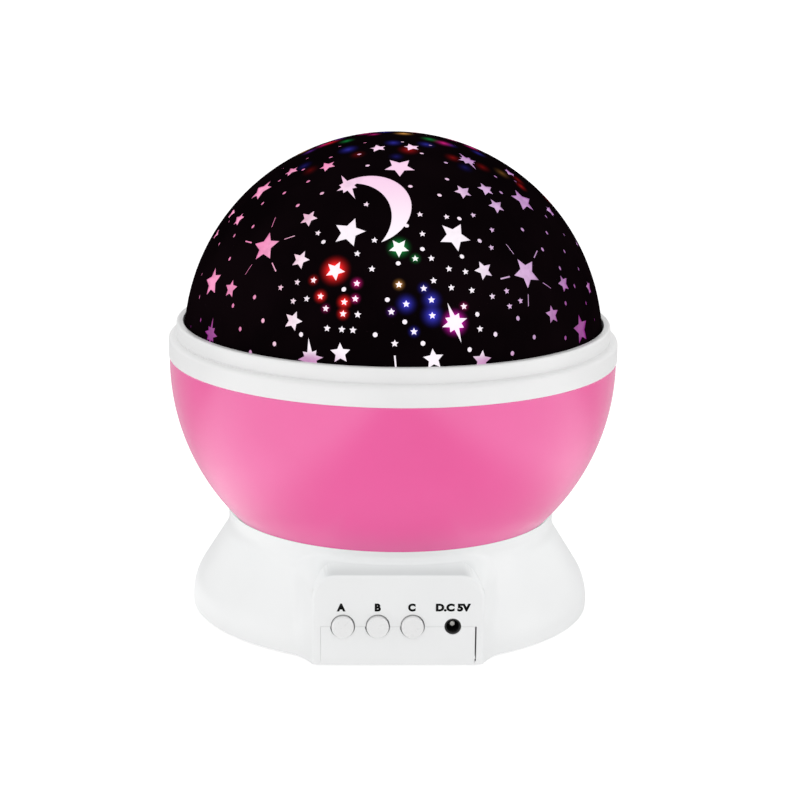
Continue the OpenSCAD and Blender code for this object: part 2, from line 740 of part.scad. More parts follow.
both = [0, 180];

// Round dots fill the gaps on a spiral: each next dot turns by the golden angle
dots = 330;
golden = 137.508;
dot_low = 6;
dot_high = 84;
function spiral_up(i) = asin(sin(dot_low) + (sin(dot_high) - sin(dot_low)) * (i + 0.5) / dots);
function spiral_east(i) = (i * golden) % 360 - 180;
function outward(p) = [cos(p.y) * sin(p.x), -cos(p.y) * cos(p.x), sin(p.y)];
function apart(p, q) = acos(min(1, outward(p) * outward(q)));
function room(list, reach) = [for (by = both, p = list) [[p.x + by, p.y], reach + 2 * dot_reach]];
keep_out = concat(
    room(large_stars, star_large), room(ray_stars, 2 * star_large), room(middle_stars, star_middle),
    room(burst_stars, star_large), room(tiny_stars, 2 * star_tiny), room([moon_place], moon_reach - 1));
function is_free(p) = len([for (k = keep_out) if (apart(p, k[0]) < k[1]) 1]) == 0;
free_dots = [for (i = [0:dots - 1]) let (p = [spiral_east(i), spiral_up(i)]) if (is_free(p)) p];

// A crescent that opens to the lower left
module crescent() {
    moon_r = span(moon_reach);
    inner_r = 1.05 * moon_r;
    rotate(38) difference() {
        circle(moon_r);
        translate([moon_r - inner_r - span(moon_w), 0]) circle(inner_r);
    }
}

// A star with two long points, two middle ones and four short ones between them
burst_points = [1.25, 0.62, 0.8, 0.62];
burst_notch = 0.4;
module burst(reach) {
    polygon([for (i = [0:15])
        let (a = 90 + 22.5 * i, q = i % 2 == 0 ? burst_points[i / 2 % 4] : burst_notch)
        q * span(reach) * [cos(a), sin(a)]]);
}

// A large star with a thin ray off each point
ray_start = 1.3;
module ray_star() {
    star(star_large);
    for (i = [0:4]) rotate(90 + 72 * i) translate([span(ray_start * star_large), -span(ray_w) / 2])
        square([span(ray_l), span(ray_w)]);
}

module star_mask() {
    color("black") difference() {
        dome_shell(dome_r, dome_r - mask_t);
        for (by = both) rotate(by) {
            on_dome(moon_place.x, moon_place.y) window() crescent();
            for (p = large_stars) on_dome(p[0], p[1], p[2]) window() star(star_large);
            for (p = ray_stars) on_dome(p[0], p[1], p[2]) window() ray_star();
            for (p = middle_stars) on_dome(p[0], p[1], p[2]) window() star(star_middle);
            for (p = burst_stars) on_dome(p[0], p[1], p[2]) window() burst(star_large);
            for (p = tiny_stars) on_dome(p[0], p[1]) window() star(star_tiny);
        }
        for (p = free_dots) on_dome(p.x, p.y) window() circle(span(dot_reach));
    }
}

module led_post() {
    color("white") difference() {
        union() {
            translate([0, 0, post_foot]) cylinder(r = post_r, h = post_top - post_foot);
            translate([0, 0, spindle_top]) cylinder(r = post_collar_r, h = post_collar_t);
            translate([0, 0, post_top - post_flange_t]) cylinder(r = post_flange_r, h = post_flange_t);
        }
        translate([0, 0, post_foot - cut]) cylinder(r = post_bore_r, h = reach);
        for (s = [-1, 1]) translate([s * post_screw_x, 0, spindle_top - cut])
            cylinder(r = small_screw_r + pilot_gap, h = post_collar_t + 2 * cut);
    }
}

module post_screws() {
    color("silver") for (s = [-1, 1]) translate([s * post_screw_x, 0, spindle_top + post_collar_t])
        mirror([0, 0, 1]) screw(small_screw_r, post_screw_l);
}

module led_board() {
    color("white") translate([0, 0, post_top]) cylinder(r = lamp_board_r, h = lamp_board_t);
}

module led_cup() {
    color("white") difference() {
        translate([0, 0, post_top - post_flange_t])
            cylinder(r = lamp_board_r + cup_t + seat_gap, h = post_flange_t + lamp_board_t + lamp_cup_h);
        translate([0, 0, post_top]) cylinder(r = lamp_board_r + seat_gap, h = reach);
        translate([0, 0, post_top - post_flange_t - cut])
            cylinder(r = post_flange_r + seat_gap, h = post_flange_t + 2 * cut);
    }
}

module led(angle, distance) {
    rotate(angle) translate([distance, 0, lamp_z]) {
        cylinder(r = led_base_r, h = led_base_t);
        cylinder(r = led_r, h = led_base_t + led_h - led_r);
        translate([0, 0, led_base_t + led_h - led_r]) sphere(led_r);
    }
}
module led_white() { color("ivory") led(0, 0); }
module led_red() { color("red") led(210, led_ring_r); }
module led_green() { color("lime") led(90, led_ring_r); }
module led_blue() { color("blue") led(330, led_ring_r); }

// A round tube swept along points: rings of sides across each point, closed at both ends
function unit(v) = v / norm(v);
function along(path, i) = unit(path[min(i + 1, len(path) - 1)] - path[max(i - 1, 0)]);
module tube(path, r, side, sides = 8) {
    rings = [for (i = [0:len(path) - 1]) let (t = along(path, i), u = unit(cross(side, t)), v = cross(t, u))
        [for (k = [0:sides - 1]) path[i] + r * (cos(360 * k / sides) * u + sin(360 * k / sides) * v)]];
    points = [for (ring = rings) each ring];
    last = (len(path) - 1) * sides;
    polyhedron(points, concat(
        [[for (k = [0:sides - 1]) k]],
        [[for (k = [sides - 1:-1:0]) last + k]],
        [for (i = [0:len(path) - 2], k = [0:sides - 1])
            let (a = i * sides + k, b = i * sides + (k + 1) % sides)
            [a, a + sides, b + sides, b]]), convexity = 8);
}

// Wires from the control board, under the deck and up the post, with rounded corners
wire_z = (roof_z + roof_t + deck_z) / 2;
wire_bend = 2;
module led_wires() {
    color("crimson") for (i = [0:wires - 1]) {
        off = (i - (wires - 1) / 2) * wire_pitch;
        run = [[19, board_y + board_t, 0], [19, -26, 0], [18.6, -21, 0.3], [17, -17, 0.7], [14, -13.5, 1],
            [10, -11, 1], [6, -9.2, 1], [3, -7.4, 0.8], [1, -5.6, 0.4], [0, -3.6, 0]];
        tube(concat(
            [for (p = run) [p.x + off, p.y + p.z * off, wire_z]],
            [for (a = [0:15:90]) [off, -wire_bend * (1 - sin(a)), wire_z + wire_bend * (1 - cos(a))]],
            [[off, 0, post_top]]), wire_r, [1, 0, 0]);
    }
}

// Each cell points the other way from its neighbour
function cell_way(i) = i % 2 == 0 ? 1 : -1;
function cell_y(i) = bay_y0 + bay_gap + cell_r + i * (2 * cell_r + bay_gap);
module at_cell(i) {
    translate([0, cell_y(i), cell_z]) rotate([0, cell_way(i) * 90, 0]) children();
}
contact_x = bay_w / 2 - plate_t - seat_gap;

module battery_cells() {
    nub_r = 1.9;
    nub_h = 0.8;
    edge = 0.3;
    color("gold") for (i = [0:cells - 1]) at_cell(i) translate([0, 0, contact_x - cell_l]) rotate_extrude()
        polygon([[0, 0], [cell_r - edge, 0], [cell_r, edge], [cell_r, cell_l - nub_h - edge],
            [cell_r - edge, cell_l - nub_h], [nub_r, cell_l - nub_h], [nub_r, cell_l], [0, cell_l]]);
}

module cell_plates() {
    plate_h = 1.5 * cell_r;
    plate_w = 1.7 * cell_r;
    color("silver") for (i = [0:cells - 1], s = [-1, 1]) at_cell(i)
        translate([-plate_h / 2, -plate_w / 2, s * (bay_w / 2 - plate_t / 2) - plate_t / 2])
            cube([plate_h, plate_w, plate_t]);
}

module cell_springs() {
    turns = 2.5;
    steps = 12 * turns;
    wire = 0.3;
    wide = 3.4;
    narrow = 2;
    rise = spring_l + seat_gap - 2 * wire;
    color("silver") for (i = [0:cells - 1]) at_cell(i)
        translate([0, 0, -bay_w / 2 + plate_t + wire]) tube([for (k = [0:steps])
            let (q = wide + (narrow - wide) * k / steps, a = 360 * turns * k / steps)
            [q * cos(a), q * sin(a), rise * k / steps]], wire, [0, 0, 1], 6);
}

module battery_door() {
    color("white") difference() {
        union() {
            door_plate(loose_gap, base_z, cover_z);
            for (s = [-1, 1]) translate([s * door_tab_x - door_tab_w / 2, door_y, cover_z]) {
                translate([0, -door_tab_l, seat_gap])
                    cube([door_tab_w, door_tab_l + door_tab_root, door_tab_t]);
                translate([0, 0, -cut]) cube([door_tab_w, door_tab_root, cut + door_tab_t + seat_gap]);
            }
        }
        translate([0, door_screw_y, base_z - cut]) {
            cylinder(r = screw_r + pilot_gap, h = reach);
            cylinder(r = head_r(screw_r) + seat_gap, h = cut + cover_t / 2);
        }
    }
}

// The door's screw has a flat head, sunk level with the door
module door_screw() {
    color("silver") translate([0, door_screw_y, base_z + cover_t / 2]) intersection() {
        screw(screw_r, cover_t / 2 + door_screw_l);
        translate([0, 0, -cover_t / 2]) cylinder(r = reach, h = reach);
    }
}

base_housing();
bottom_cover();
rubber_feet();
housing_screws();
control_board();
push_switches();
dc_jack();
gear_motor();
motor_screws();
thrust_washer();
led_post();
post_screws();
led_board();
led_cup();
led_wires();
led_white();
led_red();
led_green();
led_blue();
battery_cells();
cell_springs();
cell_plates();
button_a();
button_b();
button_c();
battery_door();
door_screw();
motor_pinion();
motor_shaft();
turntable_gear();
hub_screws();
bowl();
rim_band();
collar_ring();
diffuser_dome();
star_mask();
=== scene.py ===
# %% [markdown]
# # A star night light that turns and glows
# The lamp is a stack of turned mouldings: a flared base, a pink bowl that turns on it, a white
# rim band, a collar that lifts off, and a clear dome under a black mask with star windows.
# The CAD frame holds every piece at its true place and size. This lesson dresses it: the shells
# that show are turned again with finer curves, and every other node gets its finish.

# %% Load the frame
import json
import math

import bmesh
import bpy
from mathutils import Matrix, Vector


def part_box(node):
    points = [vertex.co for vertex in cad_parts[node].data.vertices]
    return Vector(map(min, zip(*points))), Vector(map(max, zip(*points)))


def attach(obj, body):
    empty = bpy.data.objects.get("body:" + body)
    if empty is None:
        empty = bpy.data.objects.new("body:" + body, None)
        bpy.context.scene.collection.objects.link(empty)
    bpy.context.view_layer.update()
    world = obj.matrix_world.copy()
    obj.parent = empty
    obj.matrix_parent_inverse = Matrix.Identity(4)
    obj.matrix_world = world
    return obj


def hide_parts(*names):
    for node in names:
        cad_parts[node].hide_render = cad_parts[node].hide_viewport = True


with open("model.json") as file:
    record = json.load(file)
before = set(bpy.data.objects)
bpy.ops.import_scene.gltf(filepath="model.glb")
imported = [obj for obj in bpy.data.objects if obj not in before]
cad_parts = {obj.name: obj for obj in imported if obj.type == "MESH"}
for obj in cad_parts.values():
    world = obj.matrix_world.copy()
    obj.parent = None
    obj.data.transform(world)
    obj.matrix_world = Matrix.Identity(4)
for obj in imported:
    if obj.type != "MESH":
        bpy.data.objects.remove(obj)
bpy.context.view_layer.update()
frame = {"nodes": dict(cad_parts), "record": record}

mm = 0.001

# %% [markdown]
# ## Sizes
# A turned piece is a drawing of radii and heights. The heights come from the frame, so the new
# shells meet the pieces that stay. The radii are the few that a maker would write on the drawing.

# %% Heights from the frame
table_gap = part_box("base_housing")[0].z
spindle_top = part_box("base_housing")[1].z
deck_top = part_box("thrust_washer")[0].z
deck_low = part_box("led_post")[0].z - mm
bowl_floor, band_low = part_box("bowl")[0].z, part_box("bowl")[1].z
collar_low, collar_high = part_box("rim_band")[1].z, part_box("collar_ring")[1].z
spigot_l = band_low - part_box("rim_band")[0].z
print("from the table at", round(table_gap / mm, 2), "to the collar's edge at", round(collar_high / mm, 2))

# %% Radii from the drawing
skirt_r, flank_r, neck_r, waist_r = 58.15 * mm, 16.4 * mm, 47.6 * mm, 8 * mm
flank_rise, neck_h, shell_t = 1.7 * mm, 3.1 * mm, 2.2 * mm
bowl_r, bowl_t, bowl_floor_r = 64.7 * mm, 2.2 * mm, 37.5 * mm
band_r, collar_r, dome_r = 65 * mm, 62.75 * mm, 60.6 * mm
button_z, jack_x, pin_r = table_gap + 11 * mm, 15 * mm, 0.7 * mm
bowl_z = bowl_floor + math.sqrt(bowl_r ** 2 - bowl_floor_r ** 2)
dome_z = collar_low - 2.3 * mm
print("bowl centre", round(bowl_z / mm, 2), "dome centre", round(dome_z / mm, 2))

# %% [markdown]
# ## Camera
# The camera stands a little above the lamp's middle and a touch to the left of the buttons,
# far enough away for a long lens, which keeps the round rims from bulging.

# %% Place the camera
camera_height, camera_away = 70.8 * mm, 700 * mm
camera_tilt, camera_turn, camera_roll = math.radians(13.33), math.radians(-2.4), math.radians(0.83)
lens, shift_x, shift_y = 108.07, 0.0090, -0.0414
camera_data = bpy.data.cameras.new("camera")
camera_data.lens, camera_data.shift_x, camera_data.shift_y = lens, shift_x, shift_y
camera = bpy.data.objects.new("camera", camera_data)
bpy.context.scene.collection.objects.link(camera)
aim, level_share = Vector((0, 0, camera_height)), math.cos(camera_tilt)
away = Vector((math.sin(camera_turn) * level_share, -math.cos(camera_turn) * level_share,
               math.sin(camera_tilt)))
camera.location = aim + camera_away * away
look = (aim - camera.location).to_track_quat("-Z", "Y")
camera.rotation_euler = (look.to_matrix().to_4x4() @ Matrix.Rotation(camera_roll, 4, "Z")).to_euler()
bpy.context.scene.camera = camera
print("camera at", [round(c, 3) for c in camera.location])

# %% [markdown]
# ## Finishes
# Every finish is a small network of nodes on Object coordinates. Two effects are shared, so each
# is a node group: the faint skin of moulded plastic, and the light of the lamps in the dome.


# %% Helpers that add a node and fill its inputs
def fill(tree, target, value):
    """Fills an input with a constant, or links a socket to it."""
    if isinstance(value, bpy.types.NodeSocket):
        tree.links.new(value, target)
    else:
        target.default_value = value


def add(tree, kind, **values):
    """Adds a shader node; inputs go by name, or by number as in _0."""
    node = tree.nodes.new(kind)
    for key, value in values.items():
        fill(tree, node.inputs[int(key[1:]) if key[0] == "_" else key.replace("_", " ")], value)
    return node


def place_in(tree, kind="Object"):
    """A point of the piece in its own frame."""
    return tree.nodes.new("ShaderNodeTexCoord").outputs[kind]


def split(tree, vector):
    """The X, Y and Z of a vector."""
    return add(tree, "ShaderNodeSeparateXYZ", Vector=vector).outputs


def maths(tree, operation, first, second=0.0):
    node = add(tree, "ShaderNodeMath", _0=first, _1=second)
    node.operation = operation
    return node.outputs[0]


def vector_maths(tree, operation, first, second=(0, 0, 0)):
    node = add(tree, "ShaderNodeVectorMath", _0=first, _1=second)
    node.operation = operation
    return node


def mix_colours(tree, share, first, second, blend="MIX"):
    node = tree.nodes.new("ShaderNodeMix")
    node.data_type = "RGBA"
    node.blend_type = blend
    for index, value in ((0, share), (6, first), (7, second)):
        fill(tree, node.inputs[index], value)
    return node.outputs[2]


def remap(tree, value, low, high, to_low=0.0, to_high=1.0):
    """Maps a range of values to another, easing in and out; it stops at both ends."""
    node = add(tree, "ShaderNodeMapRange", _0=value, _1=low, _2=high, _3=to_low, _4=to_high)
    node.interpolation_type = "SMOOTHSTEP"
    return node.outputs[0]


def new_group(name, inputs, outputs):
    """A node group with named sockets; each is (name, kind, default)."""
    group = bpy.data.node_groups.new(name, "ShaderNodeTree")
    for title, kind, default in inputs:
        socket = group.interface.new_socket(title, in_out="INPUT", socket_type="NodeSocket" + kind)
        socket.default_value = default
    for title, kind in outputs:
        group.interface.new_socket(title, in_out="OUTPUT", socket_type="NodeSocket" + kind)
    return group, group.nodes.new("NodeGroupInput"), group.nodes.new("NodeGroupOutput")


def shown(red, green, blue):
    """A colour given as it shows, from 0 to 255, turned into the linear one that nodes take."""
    return (*(((c / 255 + 0.055) / 1.055) ** 2.4 for c in (red, green, blue)), 1)


# %% The skin of moulded plastic
def build_moulded_skin():
    """Slow changes of tone and gloss over a piece, and the fine orange peel of its mould."""
    group, given, result = new_group(
        "moulded_skin",
        [("Light", "Color", (0.8, 0.8, 0.8, 1)), ("Deep", "Color", (0.7, 0.7, 0.7, 1)),
         ("Gloss low", "Float", 0.25), ("Gloss high", "Float", 0.35), ("Peel", "Float", 0.02)],
        [("Color", "Color"), ("Roughness", "Float"), ("Normal", "Vector")])
    place = place_in(group)
    cloud = add(group, "ShaderNodeTexNoise", Vector=place, Scale=45.0, Detail=3.0)
    fleck = add(group, "ShaderNodeTexNoise", Vector=place, Scale=900.0, Detail=2.0)
    peel = add(group, "ShaderNodeTexNoise", Vector=place, Scale=1400.0, Detail=1.0)
    tone = remap(group, cloud.outputs["Fac"], 0.3, 0.7)
    colour = mix_colours(group, tone, given.outputs["Light"], given.outputs["Deep"])
    rough = add(group, "ShaderNodeMapRange", _0=fleck.outputs["Fac"], _1=0.3, _2=0.7,
                _3=given.outputs["Gloss low"], _4=given.outputs["Gloss high"])
    bump = add(group, "ShaderNodeBump", Strength=given.outputs["Peel"], Distance=0.05 * mm,
               Height=peel.outputs["Fac"])
    group.links.new(colour, result.inputs["Color"])
    group.links.new(rough.outputs[0], result.inputs["Roughness"])
    group.links.new(bump.outputs[0], result.inputs["Normal"])
    return group


moulded_skin = build_moulded_skin()
print("group", moulded_skin.name, "with", len(moulded_skin.nodes), "nodes")


# %% The light of the lamps in the dome
def towards(east, up):
    """A direction from the dome's centre, in degrees right of the buttons' side and degrees up."""
    east, up = math.radians(east), math.radians(up)
    return (math.cos(up) * math.sin(east), -math.cos(up) * math.cos(east), math.sin(up))


red, rose, green, blue = (1, 0.02, 0.02), (0.9, 0.02, 0.3), (0.02, 0.75, 0.15), (0.08, 0.08, 1)
amber, violet, magenta = (1, 0.45, 0.1), (0.3, 0.05, 0.7), (0.9, 0.02, 0.6)
# Each halo: degrees east, degrees up, size in degrees, colour, strength
glow_spots = [
    (-20, 30, 5.3, red, 2.9), (-26, 27, 2.2, red, 0.8), (-23, 23, 2.6, red, 1.7), (-21, 20, 2, rose, 0.5),
    (-16, 22, 2.8, red, 2), (-13, 27, 2.4, rose, 1.1), (-13, 23, 2.1, rose, 1), (-16, 19, 2.4, red, 1.6),
    (-1, 37, 4.3, green, 0.8), (4, 34, 2.2, green, 0.4), (-1, 27, 2.3, amber, 0.8), (1, 22, 3.8, blue, 0.75),
    (6, 26, 2.5, blue, 0.4), (8, 23, 3.8, blue, 0.65), (8, 19, 4.2, blue, 0.85), (3, 15, 2.3, blue, 0.5),
    (14, 17, 4.8, magenta, 2.4), (17, 21, 2, rose, 0.5), (-3, 20, 2.2, violet, 0.4),
    (-101, 64, 4.5, amber, 0.6), (-87, 66, 3.5, violet, 0.3), (-92, 70, 4, rose, 0.5),
    (-92, 72, 4.5, red, 0.6), (-102, 74, 3.5, violet, 0.4), (-75, 76, 3.4, green, 0.25),
    (-48, 72, 4, blue, 0.3), (-33, 70, 3.2, red, 0.12), (-115, 81, 4.5, rose, 0.6),
    (-86, 84, 3, rose, 0.5), (-145, 85, 4, blue, 0.35), (-6, 79, 3.6, blue, 0.28),
    (82, 88, 4, amber, 0.7), (10, 74, 4.2, red, 0.35), (-63, 61, 3.5, blue, 0.1),
    (-54, 60, 3.5, red, 0.08), (-2, 70, 3, blue, 0.1), (140, 82, 4, red, 0.5), (62, 80, 3.8, green, 0.25),
    (36, 77, 3.6, blue, 0.25), (64, 76, 4, rose, 0.7), (104, 74, 4, rose, 0.6), (66, 74, 3, blue, 0.15),
    (42, 68, 3.4, red, 0.18), (92, 69, 4, rose, 0.8), (78, 67, 3.6, blue, 0.2), (42, 63, 3.4, blue, 0.07),
    (56, 62, 3.6, red, 0.12), (66, 58, 3.8, amber, 0.12), (74, 54, 3.6, red, 0.15), (69, 52, 3, red, 0.3),
    (88, 44, 4, red, 0.15),
]


def build_lamp_glow():
    """The lamps behind the dome: coloured halos at a few spots, and the tint of the windows.

    The halos near the front come again at the back, where the windows repeat."""
    group, given, result = new_group("lamp_glow", [("Sharpness", "Float", 2.6)],
                                     [("Halo", "Color"), ("Window", "Color")])
    place = place_in(group)
    from_centre = vector_maths(group, "SUBTRACT", place, (0, 0, dome_z)).outputs["Vector"]
    outward = vector_maths(group, "NORMALIZE", from_centre).outputs["Vector"]
    parts = split(group, outward)
    behind = maths(group, "GREATER_THAN", parts["Y"], 0.0)
    half_turn = maths(group, "SUBTRACT", 1.0, maths(group, "MULTIPLY", 2.0, behind))
    folded = add(group, "ShaderNodeCombineXYZ", X=maths(group, "MULTIPLY", parts["X"], half_turn),
                 Y=maths(group, "MULTIPLY", parts["Y"], half_turn), Z=parts["Z"]).outputs[0]
    halo, repeats_within = None, 60
    for east, up, size, colour, strength in glow_spots:
        half = folded if abs(east) < repeats_within else outward
        facing = vector_maths(group, "DOT_PRODUCT", half, towards(east, up)).outputs["Value"]
        angle = maths(group, "ARCCOSINE", maths(group, "MINIMUM", facing, 1.0))
        near = maths(group, "SUBTRACT", 1.0, maths(group, "DIVIDE", angle, math.radians(0.9 * size)))
        near = maths(group, "POWER", maths(group, "MAXIMUM", near, 0.0), given.outputs["Sharpness"])
        layer = vector_maths(group, "SCALE", colour)
        group.links.new(maths(group, "MULTIPLY", near, strength), layer.inputs["Scale"])
        halo = layer.outputs["Vector"] if halo is None else vector_maths(
            group, "ADD", halo, layer.outputs["Vector"]).outputs["Vector"]
    up = maths(group, "ARCSINE", parts["Z"])
    level = maths(group, "MAXIMUM", maths(group, "COSINE", up), 0.05)
    sideways = maths(group, "DIVIDE", parts["X"], level)

    def up_from(low, high):
        return remap(group, up, math.radians(low), math.radians(high))

    def side_from(low, high, measure=sideways):
        return remap(group, measure, low, high)

    # The windows are nearly white in front, pink to the left and lilac to the right
    tint = mix_colours(group, up_from(38, 62), shown(255, 246, 254), shown(249, 208, 236))
    tint = mix_colours(group, side_from(-0.41, -0.77), tint, shown(245, 140, 190))
    tint = mix_colours(group, side_from(0.34, 0.56), tint, shown(216, 176, 220))
    tint = mix_colours(group, side_from(0.59, 0.9), tint, shown(182, 124, 190))
    # They are deeper towards the foot
    side = maths(group, "ABSOLUTE", sideways)
    foot = maths(group, "MULTIPLY", up_from(10, 6.5), side_from(0.2, 0.38, side))
    tint = mix_colours(group, foot, tint, shown(205, 148, 195))
    low_left = maths(group, "MULTIPLY", up_from(20, 8), side_from(-0.69, -0.87))
    low_right = maths(group, "MULTIPLY", up_from(32, 12), side_from(0.55, 0.85))
    tint = mix_colours(group, maths(group, "ADD", low_left, low_right), tint, shown(150, 48, 142))
    # The frosted dome is a little uneven away from the lamps
    cloud = add(group, "ShaderNodeTexNoise", Vector=place, Scale=420.0, Detail=4.0)
    grain = remap(group, cloud.outputs["Fac"], 0.35, 0.7, 1.0, 0.78)
    mottle = mix_colours(group, side_from(0.14, 0.64, side), (1, 1, 1, 1), grain)
    shade = mix_colours(group, 1.0, tint, mottle, "MULTIPLY")
    lit = vector_maths(group, "ADD", shade, halo).outputs["Vector"]
    group.links.new(halo, result.inputs["Halo"])
    group.links.new(lit, result.inputs["Window"])
    return group


lamp_glow = build_lamp_glow()
print("group", lamp_glow.name, "with", len(glow_spots), "spots")


# %% A finish from the moulded skin
def material(name):
    """A new material with its node tree and its shader."""
    made = bpy.data.materials.new(name)
    made.use_nodes = True
    return made, made.node_tree, made.node_tree.nodes["Principled BSDF"]


def use_group(tree, group, **values):
    node = tree.nodes.new("ShaderNodeGroup")
    node.node_tree = group
    for key, value in values.items():
        node.inputs[key.replace("_", " ")].default_value = value
    return node


def recolour(made):
    """The tree of a finish, its shader, and the socket that colours it so far."""
    shader = made.node_tree.nodes["Principled BSDF"]
    return made.node_tree, shader, shader.inputs["Base Color"].links[0].from_socket


def moulded(name, light, deep, gloss=(0.25, 0.35), peel=0.02, **shader_values):
    """A moulded plastic: two close tones, a range of gloss, and the depth of the peel."""
    made, tree, shader = material(name)
    skin = use_group(tree, moulded_skin, Light=(*light, 1), Deep=(*deep, 1),
                     Gloss_low=gloss[0], Gloss_high=gloss[1], Peel=peel)
    tree.links.new(skin.outputs["Color"], shader.inputs["Base Color"])
    tree.links.new(skin.outputs["Roughness"], shader.inputs["Roughness"])
    tree.links.new(skin.outputs["Normal"], shader.inputs["Normal"])
    for key, value in shader_values.items():
        shader.inputs[key.replace("_", " ")].default_value = value
    return made


# %% The plastics
plastics = {
    "white_plastic": ((0.88, 0.885, 0.885), (0.865, 0.87, 0.872), (0.3, 0.34), 0.008),
    "rim_plastic": ((0.86, 0.86, 0.86), (0.845, 0.845, 0.845), (0.3, 0.34), 0.008),
    "button_plastic": ((0.85, 0.85, 0.85), (0.82, 0.82, 0.82), (0.26, 0.32), 0.008),
    "black_plastic": ((0.012, 0.012, 0.012), (0.008, 0.008, 0.008), (0.35, 0.5)),
    "inner_plastic": ((0.80, 0.80, 0.79), (0.75, 0.75, 0.74), (0.4, 0.5)),
    "drive_plastic": ((0.78, 0.76, 0.70), (0.72, 0.70, 0.63), (0.35, 0.45)),
    "foot_rubber": ((0.09, 0.09, 0.095), (0.07, 0.07, 0.07), (0.7, 0.85), 0.3),
    "board_green": ((0.02, 0.13, 0.05), (0.012, 0.09, 0.035), (0.3, 0.4)),
    "wire_red": ((0.5, 0.01, 0.01), (0.4, 0.008, 0.008), (0.35, 0.45)),
}
finishes = {name: moulded(name, *look) for name, look in plastics.items()}
finishes["pink_plastic"] = moulded(
    "pink_plastic", (0.925, 0.09, 0.355), (0.905, 0.084, 0.34), (0.2, 0.24), 0.006,
    Specular_IOR_Level=0.75, Specular_Tint=(0.3, 1, 1, 1))
finishes["cell_wrap"] = moulded(
    "cell_wrap", (0.55, 0.32, 0.06), (0.45, 0.25, 0.05), (0.2, 0.3), Metallic=0.6)
finishes["screw_steel"] = moulded(
    "screw_steel", (0.62, 0.62, 0.60), (0.52, 0.52, 0.51), (0.25, 0.4), 0.15, Metallic=1.0)
finishes["label_ink"] = moulded(
    "label_ink", (0.004, 0.004, 0.004), (0.006, 0.006, 0.006), (0.5, 0.6), Specular_IOR_Level=0.03)
print(len(finishes), "plain finishes")


# %% Two plastics that light plays on
def shade_level_faces(made):
    """Makes the level faces greyer towards the front, where they lie in the bowl's shade."""
    tree, shader, own_colour = recolour(made)
    level = split(tree, place_in(tree, "Normal"))["Z"]
    forward = split(tree, place_in(tree))["Y"]
    grey = remap(tree, forward, -0.8 * skirt_r, -skirt_r, 0.9, 0.74)
    shaded = mix_colours(tree, 1.0, own_colour, grey, "MULTIPLY")
    colour = mix_colours(tree, remap(tree, level, 0.85, 1.0), own_colour, shaded)
    tree.links.new(colour, shader.inputs["Base Color"])


def throw_pale_light(made):
    """Makes a piece throw a paler light on its neighbours than its colour, as a white card would; it also
    glows a little for diffuse rays, a painted fill light.
    """
    tree, shader, own_colour = recolour(made)
    ray = tree.nodes.new("ShaderNodeLightPath").outputs
    thrown = maths(tree, "MAXIMUM", ray["Is Diffuse Ray"], ray["Is Glossy Ray"])
    colour = mix_colours(tree, thrown, own_colour, (0.74, 0.72, 0.73, 1))
    tree.links.new(colour, shader.inputs["Base Color"])
    shader.inputs["Emission Color"].default_value = (0, 0, 0, 1)
    shader.inputs["Emission Strength"].default_value = 1.0
    tree.links.new(maths(tree, "MULTIPLY", ray["Is Diffuse Ray"], 0.44), shader.inputs["Emission Color"])


shade_level_faces(finishes["white_plastic"])
throw_pale_light(finishes["pink_plastic"])
print("the base's level faces and the bowl's bounce are set")


# %% The lit pieces
def lit_finish(name, colour):
    """The resin of a lit diode."""
    return moulded(name, colour, tuple(0.8 * c for c in colour), (0.1, 0.2),
                   Emission_Color=(*colour, 1), Emission_Strength=1.2)


for lamp, colour in (("lamp_white", (1.0, 0.9, 0.72)), ("lamp_red", (1.0, 0.04, 0.03)),
                     ("lamp_green", (0.05, 0.8, 0.15)), ("lamp_blue", (0.06, 0.12, 1.0))):
    finishes[lamp] = lit_finish(lamp, colour)


def dome_finish():
    """The clear dome, frosted inside, with the lamps' light in it."""
    made, tree, shader = material("lit_dome")
    glow = use_group(tree, lamp_glow)
    base = mix_colours(tree, 1.0, glow.outputs["Window"], (0.12, 0.12, 0.12, 1), "MULTIPLY")
    tree.links.new(base, shader.inputs["Base Color"])
    tree.links.new(glow.outputs["Window"], shader.inputs["Emission Color"])
    shader.inputs["Emission Strength"].default_value = 0.9
    shader.inputs["Roughness"].default_value = 0.35
    shader.inputs["Specular IOR Level"].default_value = 0.25
    return made


def mask_finish():
    """The black mask: near-black, with the lamps' halos bleeding through round their windows."""
    made, tree, shader = material("mask_black")
    skin = use_group(tree, moulded_skin, Light=(0.0045, 0.0022, 0.0031, 1), Deep=(0.0027, 0.0013, 0.0019, 1),
                     Gloss_low=0.5, Gloss_high=0.6, Peel=0.02)
    glow = use_group(tree, lamp_glow)
    tree.links.new(skin.outputs["Color"], shader.inputs["Base Color"])
    tree.links.new(skin.outputs["Roughness"], shader.inputs["Roughness"])
    tree.links.new(glow.outputs["Halo"], shader.inputs["Emission Color"])
    shader.inputs["Emission Strength"].default_value = 1.0
    shader.inputs["Specular IOR Level"].default_value = 0.0
    return made


def jack_finish():
    """Black nylon, with bare metal where the centre pin stands on the jack's axis."""
    made = moulded("jack_black", *plastics["black_plastic"])
    tree, shader, black = recolour(made)
    place = split(tree, place_in(tree))
    across = maths(tree, "SUBTRACT", place["X"], jack_x)
    up = maths(tree, "SUBTRACT", place["Z"], button_z)
    squares = maths(tree, "ADD", maths(tree, "MULTIPLY", across, across), maths(tree, "MULTIPLY", up, up))
    pin = maths(tree, "LESS_THAN", squares, pin_r ** 2)
    tree.links.new(mix_colours(tree, pin, black, (0.75, 0.74, 0.7, 1)), shader.inputs["Base Color"])
    tree.links.new(maths(tree, "MULTIPLY", pin, 0.5), shader.inputs["Metallic"])
    return made


finishes["lit_dome"] = dome_finish()
finishes["mask_black"] = mask_finish()
finishes["jack_black"] = jack_finish()
print(len(finishes), "finishes in all")

